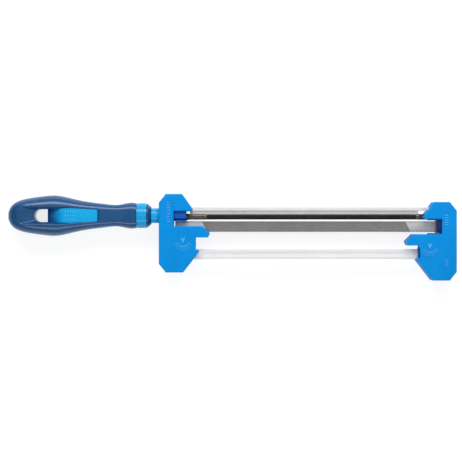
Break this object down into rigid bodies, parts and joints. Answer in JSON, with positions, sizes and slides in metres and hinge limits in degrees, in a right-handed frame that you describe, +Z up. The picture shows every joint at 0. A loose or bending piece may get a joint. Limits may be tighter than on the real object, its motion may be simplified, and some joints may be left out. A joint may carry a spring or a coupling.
{
  "type": "chainsaw file guide",
  "caption": "Hand-held chainsaw sharpening guide: moulded handle, two blue end pieces and guide rails that carry round files and a flat depth-gauge file.",
  "frame": {"origin": "middle of the bottom of the whole tool's box, lying flat", "axes": "+X from the handle's butt to the tip end, +Y from the lower rail to the upper rail, +Z up out of the front face"},
  "size_m": [0.4184, 0.0808, 0.0268],
  "materials": {
    "grip_blue": "soft satin overmould",
    "insert_blue": "glossy moulded",
    "end_blue": "fine moulded grain",
    "core_navy": "moulded",
    "rail_metal": "drawn, silk",
    "round_file_steel": "dark, spirally cut",
    "flat_file_steel": "single cut, ground ends",
    "black_plastic": "moulded",
    "spring_steel": "bright wire and strip",
    "fastener_steel": "zinc plated"
  },
  "bodies": {
    "handle_end": {"handle_grip": "grip_blue", "handle_core": "insert_blue", "nose_cap": "grip_blue", "handle_pin": "fastener_steel", "handle_end_core": "core_navy", "handle_end_front_cover": "end_blue", "handle_end_back_cover": "end_blue", "handle_end_screws": "fastener_steel", "upper_guide_rail": "rail_metal", "lower_guide_rail": "rail_metal", "upper_rail_pin": "fastener_steel", "lower_rail_pin": "fastener_steel", "thrust_spring_front": "spring_steel", "thrust_spring_back": "spring_steel"},
    "tip_end": {"tip_end_core": "core_navy", "tip_end_front_cover": "end_blue", "tip_end_back_cover": "end_blue", "tip_end_screws": "fastener_steel", "upper_rail_clip": "spring_steel", "lower_rail_clip": "spring_steel", "flat_file_spring": "spring_steel", "tip_bush_front": "black_plastic", "tip_bush_back": "black_plastic"},
    "flat_file": {"flat_file": "flat_file_steel"},
    "flat_file_shoe": {"flat_file_shoe": "core_navy"},
    "thrust_block_front": {"thrust_block_front": "core_navy", "tang_cup_front": "black_plastic"},
    "round_file_front": {"round_file_front": "round_file_steel"},
    "thrust_block_back": {"thrust_block_back": "core_navy", "tang_cup_back": "black_plastic"},
    "round_file_back": {"round_file_back": "round_file_steel"}
  },
  "joints": [
    {"name": "tip_end_slide", "type": "slide", "parent": "handle_end", "child": "tip_end", "axis": [1, 0, 0], "range_m": [0, 0.012]},
    {"name": "flat_file_slide", "type": "slide", "parent": "handle_end", "child": "flat_file", "axis": [1, 0, 0], "range_m": [0, 0.0025]},
    {"name": "flat_file_shoe_slide", "type": "slide", "parent": "tip_end", "child": "flat_file_shoe", "axis": [1, 0, 0], "range_m": [0, 0.0025], "stiffness_N_per_m": 600, "springref_m": -0.002, "deforming": ["flat_file_spring"]},
    {"name": "thrust_block_front_slide", "type": "slide", "parent": "handle_end", "child": "thrust_block_front", "axis": [-1, 0, 0], "range_m": [0, 0.003], "stiffness_N_per_m": 600, "springref_m": -0.002, "deforming": ["thrust_spring_front"]},
    {"name": "round_file_front_spin", "type": "hinge", "parent": "thrust_block_front", "child": "round_file_front", "pos_m": [-0.03985, 0.01905, 0.01669], "axis": [1, 0, 0], "continuous": true},
    {"name": "thrust_block_back_slide", "type": "slide", "parent": "handle_end", "child": "thrust_block_back", "axis": [-1, 0, 0], "range_m": [0, 0.003], "stiffness_N_per_m": 600, "springref_m": -0.002, "deforming": ["thrust_spring_back"]},
    {"name": "round_file_back_spin", "type": "hinge", "parent": "thrust_block_back", "child": "round_file_back", "pos_m": [-0.03985, 0.01905, 0.01007], "axis": [1, 0, 0], "continuous": true}
  ],
  "couplings": [
    {"joint": "flat_file_shoe_slide", "follows": "flat_file_slide", "ratio": 1}
  ]
}
